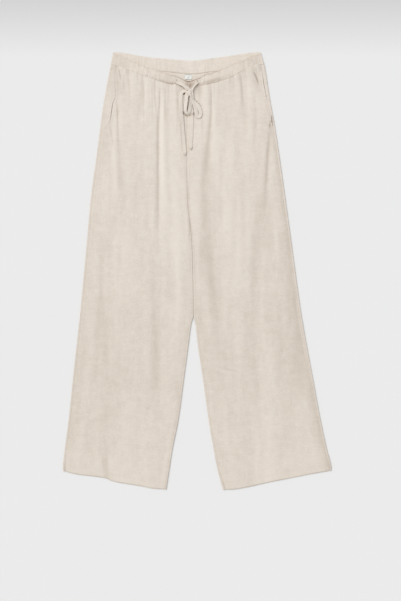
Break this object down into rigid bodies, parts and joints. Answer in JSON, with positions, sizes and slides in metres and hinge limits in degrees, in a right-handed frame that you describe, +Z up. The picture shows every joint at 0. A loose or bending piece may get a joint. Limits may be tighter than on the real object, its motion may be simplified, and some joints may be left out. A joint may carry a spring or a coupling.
{
  "type": "linen drawstring trousers laid flat",
  "caption": "Wide straight-leg linen trousers laid flat, with a ruched elastic waistband, side pockets and a flat tie in a bow.",
  "frame": {"origin": "on the surface the trousers lie on, under the middle of their outline", "axes": "+Y towards the waist, +X towards the wearer's left leg, +Z up from the surface, out of the front"},
  "size_m": [0.6454, 1.05, 0.0157],
  "materials": {
    "linen": "matt slubby plain weave",
    "linen_band": "matt plain weave, ruched over elastic",
    "pocket_cloth": "matt plain weave in shade",
    "tie_cloth": "matt plain weave, folded and stitched",
    "label": "smooth satin weave"
  },
  "bodies": {
    "root": {"front_right_leg": "linen", "front_left_leg": "linen", "back_right_leg": "linen", "back_left_leg": "linen", "waistband_front": "linen_band", "waistband_back": "linen_band", "pocket_facing_right": "pocket_cloth", "pocket_facing_left": "pocket_cloth", "size_label": "label", "drawstring_right_lead": "tie_cloth", "drawstring_right_loop": "tie_cloth", "drawstring_right_tail": "tie_cloth", "drawstring_left_lead": "tie_cloth", "drawstring_left_loop": "tie_cloth", "drawstring_left_tail": "tie_cloth", "bow_knot": "tie_cloth", "tip_knot_right": "tie_cloth", "tip_knot_left": "tie_cloth"}
  },
  "joints": []
}
